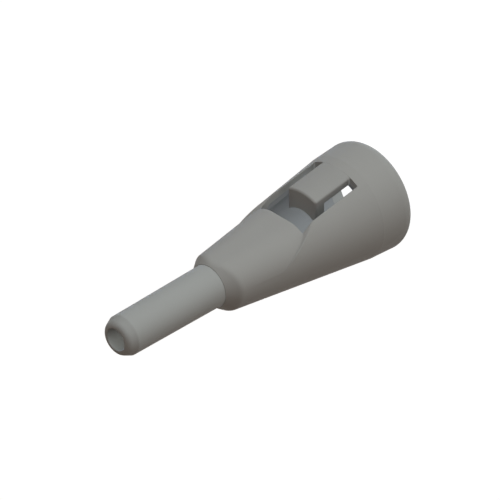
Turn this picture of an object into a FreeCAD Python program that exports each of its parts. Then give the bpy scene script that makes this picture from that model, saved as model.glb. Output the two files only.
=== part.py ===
import FreeCAD, Part
import os
import Sketcher
from math import hypot

# Insulating cap for the tip of a hand-held test probe.
# The cap stands on its rear rim: +Z runs towards the tip, the latch faces -Y.

os.makedirs("parts", exist_ok=True)
doc = FreeCAD.newDocument("ProbeTipCap")
vector = FreeCAD.Vector
near = 0.0001

# Driving sizes, in millimetres and degrees
sizes = [
    ("overall_length", "58.34", "rear rim to tip face"),
    ("nose_length", "21.1", "tip face to the front of the body"),
    ("nose_front_radius", "3.555", "nose tube behind its tip taper"),
    ("nose_root_radius", "3.713", "nose tube at the shoulder and inside the shell"),
    ("tip_taper_length", "1.79", "length of the tip taper"),
    ("tip_face_radius", "2.77", "tip taper carried on to the tip face"),
    ("tip_edge_radius", "1.06", "rounding between tip taper and tip face"),
    ("bore_radius", "2.0", "through bore for the probe's pin"),
    ("bore_funnel_radius", "3.3", "mouth of the pin's lead-in"),
    ("bore_funnel_length", "1.9", "length of the pin's lead-in"),
    ("flange_radius", "4.6", "rear flange of the nose tube"),
    ("flange_thickness", "1.6", "rear flange of the nose tube"),
    ("flange_seat", "14.3", "front of the body to the front of the flange"),
    ("seat_gap", "0.02", "clearance round a seated piece"),
    ("shoulder_land", "0.12", "ring of the body's front end round the nose tube"),
    ("shoulder_length", "2.21", "slanted shoulder along the axis"),
    ("shoulder_radius", "5.376", "body cone where the shoulder ends"),
    ("shoulder_round", "1.44", "rounding between the shoulder and the cone"),
    ("flat_front_height", "4.19", "flat above the axis at the front of the body"),
    ("flat_rear_height", "5.7", "flat above the axis at its rear section"),
    ("flat_rear_place", "17.32", "rim to the rear section of the flat"),
    ("blend_overlap", "0.01", "how far the flat's side arc passes the cone"),
    ("ramp_foot_height", "2.24", "height of the ramp where it starts"),
    ("ramp_foot_place", "24.34", "rim to where the ramp starts"),
    ("ramp_angle", "32.5", "ramp to the axis"),
    ("band_radius", "9.148", "cone where the rear band starts"),
    ("band_length", "6.72", "length of the rear band"),
    ("rim_radius", "9.524", "rear band carried on to the rim"),
    ("rim_round", "2.2", "rounding of the rim's outer edge"),
    ("rim_trim", "0.28", "how far the rim's plane cuts into its rounding"),
    ("mouth_radius", "8.15", "opening in the rear rim"),
    ("lip_front", "2.4", "rim to the ledge that the liner rests on"),
    ("shell_wall", "1.02", "shell over the liner at the liner's funnel"),
    ("liner_wall", "0.62", "liner"),
    ("liner_lip_radius", "4.0", "hole in the liner's front end"),
    ("funnel_length", "2.6", "liner's front funnel"),
    ("window_front", "20.93", "rim to the window's front edge"),
    ("window_rear", "8.42", "rim to the window's rear edge and the tongue's root"),
    ("window_width", "9.6", "window across"),
    ("window_floor", "3.0", "cuts of the window and the tongue start this far from the axis"),
    ("liner_set_back", "0.3", "how far the liner stays behind the window's sides"),
    ("tongue_width", "6.18", "latch tongue across"),
    ("tongue_thickness", "1.12", "latch tongue"),
    ("tongue_length", "7.84", "root to the hook's front face"),
    ("hook_length", "1.98", "hook along the axis"),
    ("hook_radius", "4.42", "hook's inner face from the axis"),
    ("tongue_edge_radius", "0.4", "rounding of the tongue's outer edges"),
    ("press_angle", "3", "how far the tongue can be pressed in"),
    ("cut_reach", "30", "how far the cutting outlines pass the part"),
]

# Places along the axis that follow from the driving sizes
derived = [
    ("shoulder_place", "=overall_length - nose_length"),
    ("corner_place", "=shoulder_place - shoulder_length"),
    ("cone_slope", "=(band_radius - shoulder_radius) / (corner_place - band_length)"),
    ("band_slope", "=(rim_radius - band_radius) / band_length"),
    ("band_angle", "=atan(band_slope)"),
    ("rim_centre_place", "=rim_round - rim_trim"),
    ("rim_line", "=rim_radius - band_slope * rim_centre_place"),
    ("rim_centre_radius", "=rim_line - rim_round / cos(band_angle)"),
    ("rim_reach", "=sqrt(rim_round * rim_round - rim_centre_place * rim_centre_place)"),
    ("tube_seat", "=nose_root_radius + seat_gap"),
    ("flange_front", "=shoulder_place - flange_seat"),
    ("flange_rear", "=flange_front - flange_thickness"),
    ("funnel_rear", "=flange_rear - funnel_length"),
    ("tongue_front", "=window_rear + tongue_length"),
    ("hook_rear", "=tongue_front - hook_length"),
    ("cavity_line", "=band_radius - cone_slope * (funnel_rear - band_length)"),
    ("cavity_front_radius", "=cavity_line - shell_wall - liner_wall"),
    ("cavity_slope", "=(mouth_radius - cavity_front_radius) / funnel_rear"),
]

sheet = doc.addObject("Spreadsheet::Sheet", "Sizes")
for row, entry in enumerate(sizes + derived, start=1):
    sheet.set(f"A{row}", entry[0])
    sheet.set(f"B{row}", entry[1])
    sheet.setAlias(f"B{row}", entry[0])
    sheet.set(f"C{row}", entry[2] if len(entry) > 2 else "worked out")
doc.recompute()


def cell(name):
    return f"Sizes.{name}"


def cone(place):
    """Outside radius of the body's cone at a place along the axis."""
    return f"(Sizes.band_radius - Sizes.cone_slope * ({place} - Sizes.band_length))"


def cavity(place):
    """Inside radius of the lined cavity at a place along the axis."""
    return f"(Sizes.mouth_radius - Sizes.cavity_slope * ({place}))"


def new_body(name, label):
    body = doc.addObject("PartDesign::Body", name)
    body.Label = label
    return body


def new_sketch(body, name, role):
    """A sketch on one of the body's own origin planes."""
    plane = next(item for item in body.Origin.OriginFeatures if item.Role == role)
    sketch = body.newObject("Sketcher::SketchObject", name)
    sketch.AttachmentSupport = [(plane, "")]
    sketch.MapMode = "FlatFace"
    return sketch


def hold(sketch, kind, axis, geometry, point, name, text):
    """Ties one coordinate of a point to an expression."""
    if text == "0":
        sketch.addConstraint(Sketcher.Constraint("PointOnObject", geometry, point, axis))
        return
    value = float(sketch.evalExpression(text))
    index = sketch.addConstraint(Sketcher.Constraint(kind, -1, 1, geometry, point, value))
    sketch.renameConstraint(index, name)
    sketch.setExpression(f"Constraints.{name}", text)


def outline(sketch, corners, arcs=(), tag="p"):
    """A closed outline through the corners. arcs maps a side to (centre across, centre up)."""
    arcs = dict(arcs)
    spots = [vector(*(float(sketch.evalExpression(t)) for t in c), 0) for c in corners]
    count = len(corners)
    ends = {}
    first = sketch.GeometryCount
    for side in range(count):
        start, stop = spots[side], spots[(side + 1) % count]
        if side not in arcs:
            sketch.addGeometry(Part.LineSegment(start, stop))
            ends[side] = (1, 2)
            continue
        middle = vector(*(float(sketch.evalExpression(t)) for t in arcs[side]), 0)
        onwards = (start - middle).cross(stop - middle).z > 0
        ends[side] = (1, 2) if onwards else (2, 1)
        turns = [(spot - middle).getAngle(vector(1, 0, 0)) for spot in (start, stop)]
        turns = [turn if spot.y >= middle.y else -turn for turn, spot in zip(turns, (start, stop))]
        circle = Part.Circle(middle, vector(0, 0, 1), (start - middle).Length)
        sketch.addGeometry(Part.ArcOfCircle(circle, *(turns if onwards else turns[::-1])))
    for side in range(count):
        after = (side + 1) % count
        join = (first + side, ends[side][1], first + after, ends[after][0])
        sketch.addConstraint(Sketcher.Constraint("Coincident", *join))
    for side, (across, up) in enumerate(corners):
        point = (first + side, ends[side][0])
        hold(sketch, "DistanceX", -2, *point, f"{tag}{side}_across", across)
        hold(sketch, "DistanceY", -1, *point, f"{tag}{side}_up", up)
    for side, centre in arcs.items():
        hold(sketch, "DistanceX", -2, first + side, 3, f"{tag}{side}_centre", centre[0])


def revolve(body, name, sketch, groove=False):
    kind = "PartDesign::Groove" if groove else "PartDesign::Revolution"
    turned = body.newObject(kind, name)
    turned.Profile = sketch
    turned.ReferenceAxis = (sketch, ["V_Axis"])
    turned.Angle = 360
    body.Tip = turned
    doc.recompute()
    return turned


def pocket(body, name, sketch, both_ways=False, reverse=False):
    cut = body.newObject("PartDesign::Pocket", name)
    cut.Profile = sketch
    cut.Type = "ThroughAll"
    cut.Midplane = both_ways
    cut.Reversed = reverse
    body.Tip = cut
    doc.recompute()
    return cut


def fillet(body, name, size, chosen):
    """Rounds the edges of the body's tip that chosen picks."""
    base = body.Tip
    names = [f"Edge{n}" for n, edge in enumerate(base.Shape.Edges, start=1) if chosen(edge)]
    rounded = body.newObject("PartDesign::Fillet", name)
    rounded.Base = (base, names)
    rounded.setExpression("Radius", cell(size))
    body.Tip = rounded
    doc.recompute()
    return rounded


def lies_at(edge, place):
    """True for an edge that lies wholly at one place along the axis."""
    box = edge.BoundBox
    return abs(box.ZMin - place) < near and abs(box.ZMax - place) < near


def size_of(name):
    return float(sheet.get(name))


def cone_radius(place):
    """The same cone as a number, for choosing edges."""
    return size_of("band_radius") - size_of("cone_slope") * (place - size_of("band_length"))


def is_outer(edge):
    """True for an edge whose middle is on the cone or on the rounding next to it."""
    middle = edge.valueAt((edge.FirstParameter + edge.LastParameter) / 2)
    least = cone_radius(middle.z) - size_of("tongue_edge_radius") / 2
    return hypot(middle.x, middle.y) > least


def flat_section(sketch, radius, height):
    """Everything outside a flattened round section: a flat with side arcs that run out into the cone."""
    edge = f"({radius} + Sizes.blend_overlap)"
    side = f"({edge} - {height})"
    right = [(side, height), (edge, "0"), ("Sizes.cut_reach", "0"), ("Sizes.cut_reach",) * 2]
    left = [(f"-({across})", up) for across, up in reversed(right)]
    outline(sketch, right + left, {0: (side, "0"), 6: (f"-({side})", "0")})


def make_flat_cutter():
    """The volume taken off the body cone to leave the flat, ended by the ramp."""
    body = new_body("FlatCutter", "flat_cutter")
    places = [
        ("FlatFrontSection", "Sizes.shoulder_place", "Sizes.flat_front_height"),
        ("FlatRearSection", "Sizes.flat_rear_place", "Sizes.flat_rear_height"),
    ]
    sections = []
    for name, place, height in places:
        sketch = new_sketch(body, name, "XY_Plane")
        half_turn = FreeCAD.Rotation(vector(0, 0, 1), 180)
        sketch.AttachmentOffset = FreeCAD.Placement(vector(0, 0, 0), half_turn)
        sketch.setExpression("AttachmentOffset.Base.z", place)
        flat_section(sketch, cone(place), height)
        sections.append(sketch)
    doc.recompute()
    loft = body.newObject("PartDesign::AdditiveLoft", "FlatLoft")
    loft.Profile = sections[0]
    loft.Sections = [sections[1]]
    loft.Ruled = True
    body.Tip = loft
    doc.recompute()
    ramp = new_sketch(body, "RampSide", "YZ_Plane")
    run = "Sizes.cut_reach / tan(Sizes.ramp_angle * 1deg)"
    high = ("-(Sizes.ramp_foot_height + Sizes.cut_reach)", f"Sizes.ramp_foot_place - {run}")
    low = ("Sizes.cut_reach - Sizes.ramp_foot_height", f"Sizes.ramp_foot_place + {run}")
    outline(ramp, [low, high, (low[0], high[1])])
    doc.recompute()
    pocket(body, "RampCut", ramp, both_ways=True)
    return body


def make_skirt_shell():
    """The moulded body: shoulder, flattened cone, rear band, window and cavity."""
    cutter = make_flat_cutter()
    body = new_body("SkirtShell", "skirt_shell")
    outside = new_sketch(body, "OutsideProfile", "XZ_Plane")
    rim_centre = ("Sizes.rim_centre_radius", "Sizes.rim_centre_place")
    rim_end = (
        f"{rim_centre[0]} + Sizes.rim_round * cos(Sizes.band_angle)",
        f"{rim_centre[1]} + Sizes.rim_round * sin(Sizes.band_angle)",
    )
    corners = [
        ("0", "0"),
        ("Sizes.rim_centre_radius + Sizes.rim_reach", "0"),
        rim_end,
        ("Sizes.band_radius", "Sizes.band_length"),
        ("Sizes.shoulder_radius", "Sizes.corner_place"),
        ("Sizes.tube_seat + Sizes.shoulder_land", "Sizes.shoulder_place"),
        ("0", "Sizes.shoulder_place"),
    ]
    outline(outside, corners, {1: rim_centre})
    revolve(body, "Outside", outside)
    flat = body.newObject("PartDesign::Boolean", "FlatCut")
    flat.setObjects([cutter])
    flat.Type = "Cut"
    body.Tip = flat
    doc.recompute()
    front = size_of("shoulder_place") - near
    corner = size_of("corner_place") - near
    fillet(
        body,
        "ShoulderRound",
        "shoulder_round",
        lambda edge: edge.BoundBox.ZMin > corner and edge.BoundBox.ZMax < front,
    )

    inside = new_sketch(body, "InsideProfile", "XZ_Plane")
    seat = "Sizes.flange_radius + Sizes.seat_gap"
    corners = [
        ("0", "0"),
        ("Sizes.mouth_radius", "0"),
        (cavity("Sizes.lip_front"), "Sizes.lip_front"),
        (f"{cavity('Sizes.lip_front')} + Sizes.liner_wall", "Sizes.lip_front"),
        ("Sizes.cavity_front_radius + Sizes.liner_wall", "Sizes.funnel_rear"),
        (seat, "Sizes.flange_rear"),
        (seat, "Sizes.flange_front"),
        ("Sizes.tube_seat", "Sizes.flange_front"),
        ("Sizes.tube_seat", "Sizes.shoulder_place"),
        ("0", "Sizes.shoulder_place"),
    ]
    outline(inside, corners)
    revolve(body, "Inside", inside, groove=True)
    cut_window(body, "Sizes.window_width / 2")
    return body


def cut_window(body, half):
    """The window that the latch stands in, straight through the wall."""
    sketch = new_sketch(body, f"{body.Name}WindowOutline", "XZ_Plane")
    sketch.setExpression("AttachmentOffset.Base.z", "Sizes.window_floor")
    corners = [
        (half, "Sizes.window_rear"),
        (half, "Sizes.window_front"),
        (f"-({half})", "Sizes.window_front"),
        (f"-({half})", "Sizes.window_rear"),
    ]
    outline(sketch, corners)
    doc.recompute()
    pocket(body, f"{body.Name}Window", sketch, reverse=True)


def make_inner_liner():
    """The thin lining of the cavity, with a funnel and a lip that holds the nose tube's flange."""
    body = new_body("InnerLiner", "inner_liner")
    sketch = new_sketch(body, "LinerProfile", "XZ_Plane")
    outer = "Sizes.liner_wall - Sizes.seat_gap"
    rear = "Sizes.lip_front + Sizes.seat_gap"
    front = "Sizes.flange_rear"
    corners = [
        (cavity(rear), rear),
        (f"{cavity(rear)} + {outer}", rear),
        (f"Sizes.cavity_front_radius + {outer}", "Sizes.funnel_rear"),
        ("Sizes.flange_radius", front),
        ("Sizes.liner_lip_radius", front),
        ("Sizes.liner_lip_radius", f"{front} - Sizes.liner_wall"),
        ("Sizes.cavity_front_radius", "Sizes.funnel_rear"),
    ]
    outline(sketch, corners)
    revolve(body, "Lining", sketch)
    cut_window(body, "Sizes.window_width / 2 + Sizes.liner_set_back")
    return body


def make_nose_tube():
    """The slender tube with its tapered tip, through bore and rear flange."""
    body = new_body("NoseTube", "nose_tube")
    sketch = new_sketch(body, "TubeProfile", "XZ_Plane")
    corners = [
        ("Sizes.bore_radius", "Sizes.overall_length"),
        ("Sizes.tip_face_radius", "Sizes.overall_length"),
        ("Sizes.nose_front_radius", "Sizes.overall_length - Sizes.tip_taper_length"),
        ("Sizes.nose_root_radius", "Sizes.shoulder_place"),
        ("Sizes.nose_root_radius", "Sizes.flange_front"),
        ("Sizes.flange_radius", "Sizes.flange_front"),
        ("Sizes.flange_radius", "Sizes.flange_rear"),
        ("Sizes.bore_funnel_radius", "Sizes.flange_rear"),
        ("Sizes.bore_radius", "Sizes.flange_rear + Sizes.bore_funnel_length"),
    ]
    outline(sketch, corners)
    revolve(body, "Tube", sketch)
    tip = size_of("overall_length")
    middle = (size_of("bore_radius") + size_of("tip_face_radius")) / 2
    fillet(
        body,
        "TipRound",
        "tip_edge_radius",
        lambda edge: lies_at(edge, tip) and edge.BoundBox.XMax > middle,
    )
    return body


def make_latch_tongue():
    """The springy tongue, flush with the cone, with the hook at its free front end."""
    body = new_body("LatchTongue", "latch_tongue")
    profile = new_sketch(body, "TongueProfile", "XZ_Plane")
    under = "Sizes.tongue_thickness"
    corners = [
        (cone("Sizes.window_rear"), "Sizes.window_rear"),
        (cone("Sizes.tongue_front"), "Sizes.tongue_front"),
        ("Sizes.hook_radius", "Sizes.tongue_front"),
        ("Sizes.hook_radius", "Sizes.hook_rear"),
        (f"{cone('Sizes.hook_rear')} - {under}", "Sizes.hook_rear"),
        (f"{cone('Sizes.window_rear')} - {under}", "Sizes.window_rear"),
    ]
    outline(profile, corners)
    revolve(body, "Ring", profile)
    front = size_of("tongue_front")
    fillet(
        body,
        "FrontRound",
        "tongue_edge_radius",
        lambda edge: lies_at(edge, front) and edge.BoundBox.XMax > cone_radius(front) - near,
    )
    sides = new_sketch(body, "TongueSides", "XY_Plane")
    half = "Sizes.tongue_width / 2"
    far = "Sizes.cut_reach"
    right = [(half, "-Sizes.window_floor"), (half, f"-{far}"), (far, f"-{far}"), (far, far)]
    left = [(f"-({across})", up) for across, up in reversed(right)]
    outline(sides, right + left)
    doc.recompute()
    pocket(body, "SidesCut", sides, reverse=True)
    relief = new_sketch(body, "RootRelief", "YZ_Plane")
    pivot = cone("Sizes.window_rear")
    lift = f"{pivot} * tan(Sizes.press_angle * 1deg)"
    corners = [
        (f"-{pivot}", "Sizes.window_rear"),
        ("0", "Sizes.window_rear"),
        ("0", f"Sizes.window_rear + {lift}"),
    ]
    outline(relief, corners)
    doc.recompute()
    pocket(body, "RootCut", relief, both_ways=True)
    fillet(
        body,
        "SidesRound",
        "tongue_edge_radius",
        lambda edge: edge.BoundBox.XLength < near and is_outer(edge),
    )
    return body


made = [make_skirt_shell(), make_inner_liner(), make_nose_tube(), make_latch_tongue()]
doc.recompute()

failed = [item.Name for item in doc.Objects if "Invalid" in item.State or "Error" in item.State]
if failed:
    raise RuntimeError(f"failed objects: {failed}")
for body in made:
    shape = body.Shape
    if shape.isNull() or not shape.isValid() or len(shape.Solids) != 1:
        raise RuntimeError(f"bad shape: {body.Label}")
for body in made:
    body.Shape.exportStep(f"parts/{body.Label}.step")
    box = body.Shape.BoundBox
    print(body.Label, round(body.Shape.Volume, 2), "mm3, Z", round(box.ZMin, 2), round(box.ZMax, 2))
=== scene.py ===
import bpy
import bmesh
import math
from mathutils import Matrix, Vector


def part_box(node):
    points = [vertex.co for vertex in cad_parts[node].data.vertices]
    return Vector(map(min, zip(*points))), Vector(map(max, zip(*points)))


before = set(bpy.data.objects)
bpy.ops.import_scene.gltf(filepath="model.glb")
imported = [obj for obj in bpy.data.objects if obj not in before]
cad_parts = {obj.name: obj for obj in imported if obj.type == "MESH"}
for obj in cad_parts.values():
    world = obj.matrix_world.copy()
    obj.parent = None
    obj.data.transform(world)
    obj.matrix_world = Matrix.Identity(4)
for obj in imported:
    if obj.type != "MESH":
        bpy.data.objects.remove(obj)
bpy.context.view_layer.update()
scene = bpy.context.scene
mm = 0.001

# The view of the photograph: parallel, from the corner between the nose, the latch and the cap's -X side
view = {
    "mmPerPixel": 0.16,
    "picture": 500,
    "tipAt": (115.725, 339.91),
    "right": (-1, 0, -1),
    "up": (1, -2, -1),
    "distance": 0.4,
    "clip": (0.01, 2),
}


def setCamera():
    right = Vector(view["right"]).normalized()
    up = Vector(view["up"]).normalized()
    back = right.cross(up)
    lens = bpy.data.cameras.new("camera")
    lens.type = "ORTHO"
    lens.ortho_scale = view["picture"] * view["mmPerPixel"] * mm
    lens.clip_start, lens.clip_end = view["clip"]
    camera = bpy.data.objects.new("camera", lens)
    scene.collection.objects.link(camera)
    half = view["picture"] / 2
    across = (half - view["tipAt"][0]) * view["mmPerPixel"] * mm
    rise = (view["tipAt"][1] - half) * view["mmPerPixel"] * mm
    tip = Vector((0, 0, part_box("nose_tube")[1].z))
    place = tip + right * across + up * rise + back * view["distance"]
    turn = Matrix((right, up, back)).transposed().to_4x4()
    camera.matrix_world = Matrix.Translation(place) @ turn
    scene.camera = camera
    print("camera set")


def newMaterial(name):
    material = bpy.data.materials.new(name)
    material.use_nodes = True
    material.node_tree.nodes.clear()
    return material, material.node_tree.nodes, material.node_tree.links


# A shader group whose inputs are all numbers, and whose outputs are named with their kinds
def newGroup(name, inputs, outputs):
    group = bpy.data.node_groups.new(name, "ShaderNodeTree")
    for label in inputs:
        group.interface.new_socket(label, in_out="INPUT", socket_type="NodeSocketFloat")
    for label, kind in outputs.items():
        group.interface.new_socket(label, in_out="OUTPUT", socket_type=kind)
    given = group.nodes.new("NodeGroupInput").outputs
    result = group.nodes.new("NodeGroupOutput").inputs
    return group, group.nodes, group.links, given, result


def groupNode(nodes, group, values):
    node = nodes.new("ShaderNodeGroup")
    node.node_tree = group
    for label, value in values.items():
        node.inputs[label].default_value = value
    return node


def mathNode(nodes, links, operation, *values):
    node = nodes.new("ShaderNodeMath")
    node.operation = operation
    for socket, value in zip(node.inputs, values):
        if isinstance(value, (int, float)):
            socket.default_value = value
        else:
            links.new(value, socket)
    return node.outputs[0]


def mixNode(nodes, links, kind, factor, first, second):
    node = nodes.new("ShaderNodeMix")
    node.data_type = kind
    links.new(factor, node.inputs["Factor"])
    links.new(first, node.inputs["A"])
    if isinstance(second, tuple):
        node.inputs["B"].default_value = (*second, 1)
    else:
        links.new(second, node.inputs["B"])
    return node.outputs["Result"]


def noiseNode(nodes, links, place, scale, detail, roughness):
    noise = nodes.new("ShaderNodeTexNoise")
    noise.inputs["Detail"].default_value = detail
    noise.inputs["Roughness"].default_value = roughness
    links.new(place, noise.inputs["Vector"])
    links.new(scale, noise.inputs["Scale"])
    return noise.outputs["Fac"]


# The detail and roughness of the two noises, their middle value and the fine one's share
grain = {
    "fine": (3, 0.6),
    "cloud": (2, 0.5),
    "middle": 0.5,
    "fineShare": 0.5,
}


# The fine spark-eroded grain of the mould, and the slow drift of colour that the melt leaves
def makeGrain():
    inputs = ["Grain Scale", "Cloud Scale", "Colour Spread", "Roughness", "Roughness Spread"]
    outputs = {"Shade": "NodeSocketFloat", "Roughness": "NodeSocketFloat", "Height": "NodeSocketFloat"}
    group, nodes, links, given, result = newGroup("mouldGrain", inputs, outputs)
    place = nodes.new("ShaderNodeTexCoord").outputs["Object"]
    fine = noiseNode(nodes, links, place, given["Grain Scale"], *grain["fine"])
    cloud = noiseNode(nodes, links, place, given["Cloud Scale"], *grain["cloud"])
    fineSwing = mathNode(nodes, links, "SUBTRACT", fine, grain["middle"])
    cloudSwing = mathNode(nodes, links, "SUBTRACT", cloud, grain["middle"])
    swing = mathNode(nodes, links, "MULTIPLY_ADD", fineSwing, grain["fineShare"], cloudSwing)
    shade = mathNode(nodes, links, "MULTIPLY_ADD", swing, given["Colour Spread"], 1)
    rough = mathNode(nodes, links, "MULTIPLY_ADD", fineSwing, given["Roughness Spread"], given["Roughness"])
    links.new(shade, result["Shade"])
    links.new(rough, result["Roughness"])
    links.new(fine, result["Height"])
    return group


# A mask that is 1 along one stretch of the cap's axis
def makeStretch():
    outputs = {"Within": "NodeSocketFloat"}
    group, nodes, links, given, result = newGroup("stretch", ["From", "To"], outputs)
    place = nodes.new("ShaderNodeSeparateXYZ")
    links.new(nodes.new("ShaderNodeTexCoord").outputs["Object"], place.inputs["Vector"])
    above = mathNode(nodes, links, "GREATER_THAN", place.outputs["Z"], given["From"])
    below = mathNode(nodes, links, "LESS_THAN", place.outputs["Z"], given["To"])
    links.new(mathNode(nodes, links, "MULTIPLY", above, below), result["Within"])
    return group


# How many rays the edge mask and the painted-shade mask send out at each point
maskSamples = 8


# The small radius that moulded edges have, and a mask that is 1 on it for the polish of handling
def makeSoftEdge():
    outputs = {"Normal": "NodeSocketVector", "Edge": "NodeSocketFloat"}
    group, nodes, links, given, result = newGroup("softEdge", ["Radius", "Reach", "Within"], outputs)
    bevel = nodes.new("ShaderNodeBevel")
    bevel.samples = maskSamples
    links.new(given["Radius"], bevel.inputs["Radius"])
    rounded = bevel.outputs["Normal"]
    flat = nodes.new("ShaderNodeNewGeometry").outputs["Normal"]
    match = nodes.new("ShaderNodeVectorMath")
    match.operation = "DOT_PRODUCT"
    links.new(rounded, match.inputs[0])
    links.new(flat, match.inputs[1])
    bent = mathNode(nodes, links, "SUBTRACT", 1, match.outputs["Value"])
    reached = mathNode(nodes, links, "MULTIPLY", bent, given["Reach"])
    edge = mathNode(nodes, links, "MULTIPLY", reached, given["Within"])
    edge.node.use_clamp = True
    links.new(mixNode(nodes, links, "VECTOR", given["Within"], flat, rounded), result["Normal"])
    links.new(edge, result["Edge"])
    return group


# Painted shade in hollows and gaps, from how little of the room they see: 0 in the open, more towards the
# bottom of a gap
def makePaintedShade():
    inputs = ["Distance", "Depth", "Power", "Within"]
    group, nodes, links, given, result = newGroup("paintedShade", inputs, {"Shade": "NodeSocketFloat"})
    around = nodes.new("ShaderNodeAmbientOcclusion")
    around.samples = maskSamples
    links.new(given["Distance"], around.inputs["Distance"])
    closed = mathNode(nodes, links, "SUBTRACT", 1, around.outputs["AO"])
    deep = mathNode(nodes, links, "POWER", closed, given["Power"])
    lost = mathNode(nodes, links, "MULTIPLY", deep, given["Depth"])
    shade = mathNode(nodes, links, "MULTIPLY", lost, given["Within"])
    shade.node.use_clamp = True
    links.new(shade, result["Shade"])
    return group


grainGroup = makeGrain()
stretchGroup = makeStretch()
edgeGroup = makeSoftEdge()
paintedShadeGroup = makePaintedShade()


def stretchMask(nodes, ends):
    return groupNode(nodes, stretchGroup, dict(zip(("From", "To"), ends))).outputs["Within"]


# Normals and mask of the edges: small radii on the stretch of wear and painted shade, a wider blend on the
# blended one
def softEdges(nodes, links, finish, wearAndShadeStretch):
    soft = groupNode(nodes, edgeGroup, {"Reach": finish["Edge Reach"]})
    blended = stretchMask(nodes, finish["Blended Stretch"])
    growth = finish["Blend Radius"] - finish["Edge Radius"]
    radius = mathNode(nodes, links, "MULTIPLY_ADD", blended, growth, finish["Edge Radius"])
    links.new(radius, soft.inputs["Radius"])
    links.new(mathNode(nodes, links, "MAXIMUM", wearAndShadeStretch, blended), soft.inputs["Within"])
    return soft.outputs["Normal"], mathNode(nodes, links, "MULTIPLY", soft.outputs["Edge"], wearAndShadeStretch)


# The plastic's own colour, with painted shade darkening its hollows and gaps, and paler on worn edges
def plasticColour(nodes, links, finish, shade, edge, wearAndShadeStretch):
    values = {label: finish["Recess " + label] for label in ("Distance", "Depth", "Power")}
    paintedShade = groupNode(nodes, paintedShadeGroup, values)
    links.new(wearAndShadeStretch, paintedShade.inputs["Within"])
    tint = nodes.new("ShaderNodeVectorMath")
    tint.operation = "SCALE"
    tint.inputs[0].default_value = finish["Colour"]
    links.new(shade, tint.inputs["Scale"])
    own = tint.outputs["Vector"]
    # painted shade: the colour darkens towards the shade colour where the occlusion mask is closed
    withPaintedShade = mixNode(nodes, links, "RGBA", paintedShade.outputs["Shade"], own, finish["Recess Colour"])
    wear = mathNode(nodes, links, "MULTIPLY", edge, finish["Wear"])
    return mixNode(nodes, links, "RGBA", wear, withPaintedShade, finish["Worn Colour"])


def mouldedPlastic(name, finish):
    material, nodes, links = newMaterial(name)
    labels = ("Grain Scale", "Cloud Scale", "Colour Spread", "Roughness", "Roughness Spread")
    mould = groupNode(nodes, grainGroup, {label: finish[label] for label in labels}).outputs
    # this stretch limits the edge wear and also the painted shade in hollows
    wearAndShadeStretch = stretchMask(nodes, finish["Wear And Painted Shade Stretch"])
    normal, edge = softEdges(nodes, links, finish, wearAndShadeStretch)
    bump = nodes.new("ShaderNodeBump")
    bump.inputs["Strength"].default_value = finish["Grain Strength"]
    bump.inputs["Distance"].default_value = finish["Grain Depth"]
    links.new(mould["Height"], bump.inputs["Height"])
    links.new(normal, bump.inputs["Normal"])
    shader = nodes.new("ShaderNodeBsdfPrincipled")
    shader.inputs["IOR"].default_value = finish["IOR"]
    shader.inputs["Specular IOR Level"].default_value = finish["Specular"]
    colour = plasticColour(nodes, links, finish, mould["Shade"], edge, wearAndShadeStretch)
    rough = mathNode(nodes, links, "MULTIPLY_ADD", edge, -finish["Polish"], mould["Roughness"])
    links.new(colour, shader.inputs["Base Color"])
    links.new(rough, shader.inputs["Roughness"])
    links.new(bump.outputs["Normal"], shader.inputs["Normal"])
    output = nodes.new("ShaderNodeOutputMaterial")
    links.new(shader.outputs["BSDF"], output.inputs["Surface"])
    return material


# A stretch of no length, for a piece that has none of the effect
nowhere = (0, 0)

shellFinish = {
    "Colour": (0.312, 0.306, 0.29),
    "Worn Colour": (0.36, 0.355, 0.335),
    "Wear": 0.35,
    "Polish": 0.1,
    "Grain Scale": 3600,
    "Cloud Scale": 130,
    "Colour Spread": 0.05,
    "Roughness": 0.6,
    "Roughness Spread": 0.12,
    "Grain Strength": 0.35,
    "Grain Depth": 0.00001,
    "Edge Radius": 0.0003,
    "Edge Reach": 6,
    "Wear And Painted Shade Stretch": (0.0088, 0.03),
    "Blended Stretch": (0.0325, 0.0362),
    "Blend Radius": 0.0009,
    # Painted shade: colour of the darkest hollow, how far the occlusion looks, and how strongly it darkens
    "Recess Colour": (0.05, 0.047, 0.042),
    "Recess Distance": 0.002,
    "Recess Depth": 0.8,
    "Recess Power": 1,
    "IOR": 1.49,
    "Specular": 0.06,
}
noseFinish = {
    **shellFinish,
    "Colour": (0.33, 0.332, 0.319),
    "Wear": 0,
    "Wear And Painted Shade Stretch": (0.045, 1),
    "Blended Stretch": nowhere,
    # Painted shade darkens the bore to a brown-dark
    "Recess Colour": (0.075, 0.062, 0.046),
    "Recess Distance": 0.004,
    "Recess Depth": 1.2,
}
latchFinish = {
    **shellFinish,
    "Colour": (0.304, 0.299, 0.284),
    "Edge Radius": 0.00005,
    "Blended Stretch": nowhere,
    "Wear": 0,
    "Roughness": 0.56,
    # Painted shade darkens the tongue's sides next to the slot walls
    "Recess Distance": 0.004,
    "Recess Depth": 1,
}
linerFinish = {
    **shellFinish,
    "Colour": (0.246, 0.246, 0.247),
    "Worn Colour": (0.3, 0.31, 0.32),
    "Grain Strength": 0.15,
    "Roughness": 0.52,
    "Edge Radius": 0.00005,
    "Blended Stretch": nowhere,
    # Faint painted shade in the liner's gaps
    "Recess Distance": 0.001,
    "Recess Depth": 0.2,
}
finishes = {
    "skirt_shell": ("shellPlastic", shellFinish),
    "nose_tube": ("nosePlastic", noseFinish),
    "latch_tongue": ("latchPlastic", latchFinish),
    "inner_liner": ("linerPlastic", linerFinish),
}


def dressNodes():
    for name, (materialName, finish) in finishes.items():
        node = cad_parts[name]
        node.data.materials.clear()
        node.data.materials.append(mouldedPlastic(materialName, finish))
    print("moulded plastics on", len(finishes), "nodes")


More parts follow.
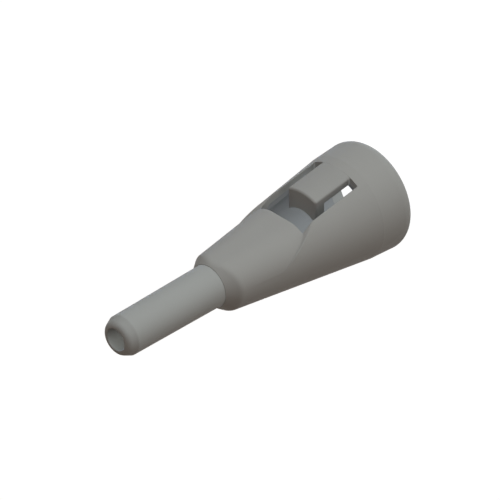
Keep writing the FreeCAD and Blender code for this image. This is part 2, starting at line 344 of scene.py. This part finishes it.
# Camera, glossy and transmission rays see white surroundings; the object gets only the plain light
def isSeen(nodes, links):
    path = nodes.new("ShaderNodeLightPath").outputs
    either = mathNode(nodes, links, "MAXIMUM", path["Is Camera Ray"], path["Is Glossy Ray"])
    return mathNode(nodes, links, "MAXIMUM", either, path["Is Transmission Ray"])


floor = {
    "radius": 0.6,
    "sides": 96,
    "white": (0.8, 0.8, 0.8),
    "seenWhite": (0.3, 0.3, 0.3),
    "seenGlow": 0.955,
}


def makeFloor():
    disc = bmesh.new()
    bmesh.ops.create_circle(disc, cap_ends=True, segments=floor["sides"], radius=floor["radius"])
    mesh = bpy.data.meshes.new("floor")
    disc.to_mesh(mesh)
    disc.free()
    piece = bpy.data.objects.new("floor", mesh)
    scene.collection.objects.link(piece)
    material, nodes, links = newMaterial("floorWhite")
    plain = nodes.new("ShaderNodeBsdfDiffuse")
    plain.inputs["Color"].default_value = (*floor["white"], 1)
    shaded = nodes.new("ShaderNodeBsdfDiffuse")
    shaded.inputs["Color"].default_value = (*floor["seenWhite"], 1)
    glow = nodes.new("ShaderNodeEmission")
    glow.inputs["Strength"].default_value = floor["seenGlow"]
    both = nodes.new("ShaderNodeAddShader")
    links.new(shaded.outputs["BSDF"], both.inputs[0])
    links.new(glow.outputs["Emission"], both.inputs[1])
    mix = nodes.new("ShaderNodeMixShader")
    links.new(isSeen(nodes, links), mix.inputs["Fac"])
    links.new(plain.outputs["BSDF"], mix.inputs[1])
    links.new(both.outputs["Shader"], mix.inputs[2])
    output = nodes.new("ShaderNodeOutputMaterial")
    links.new(mix.outputs["Shader"], output.inputs["Surface"])
    mesh.materials.append(material)
    print("floor laid")


# Soft studio light. Each lamp has the side it comes from, the level to which it lights a surface that
# faces it, and its softness in degrees. The back lamp lies straight behind what the camera sees.
light = {
    "sky": (0.15, 0.102, 0.068),
    "seenSky": (1, 1, 1),
    "lamps": {
        "latchLamp": ((0, -1, 0), (0.403, 0.452, 0.476), 45),
        "rearLamp": ((-1, -1, -1), (0.301, 0.322, 0.321), 45),
        "frontLamp": ((-1, -1, 1), (0.17, 0.176, 0.189), 45),
        "farLamp": ((1, 0, -1), (0.106, 0.133, 0.192), 45),
        "backLamp": ((1, 1, -1), (0.37, 0.4, 0.41), 4),
    },
}


def setWorld():
    world = bpy.data.worlds.new("world")
    scene.world = world
    world.use_nodes = True
    nodes = world.node_tree.nodes
    links = world.node_tree.links
    nodes.clear()
    sky = nodes.new("ShaderNodeBackground")
    sky.inputs["Color"].default_value = (*light["sky"], 1)
    white = nodes.new("ShaderNodeBackground")
    white.inputs["Color"].default_value = (*light["seenSky"], 1)
    mix = nodes.new("ShaderNodeMixShader")
    links.new(isSeen(nodes, links), mix.inputs["Fac"])
    links.new(sky.outputs["Background"], mix.inputs[1])
    links.new(white.outputs["Background"], mix.inputs[2])
    output = nodes.new("ShaderNodeOutputWorld")
    links.new(mix.outputs["Shader"], output.inputs["Surface"])


def hangLamps():
    for name, (side, level, softness) in light["lamps"].items():
        lamp = bpy.data.lights.new(name, "SUN")
        lamp.angle = math.radians(softness)
        brightest = max(level)
        lamp.color = [part / brightest for part in level]
        lamp.energy = math.pi * brightest
        lamp.use_shadow = False  # the light also reaches the cavity, as in the photograph
        lamp.cycles.use_multiple_importance_sampling = False  # with it, lamps below the floor lose light
        hung = bpy.data.objects.new(name, lamp)
        hung.rotation_euler = Vector(side).to_track_quat("Z", "Y").to_euler()
        scene.collection.objects.link(hung)
    print("lamps hung:", len(light["lamps"]))


dressNodes()
setCamera()
makeFloor()
setWorld()
hangLamps()
scene.view_settings.view_transform = "Standard"
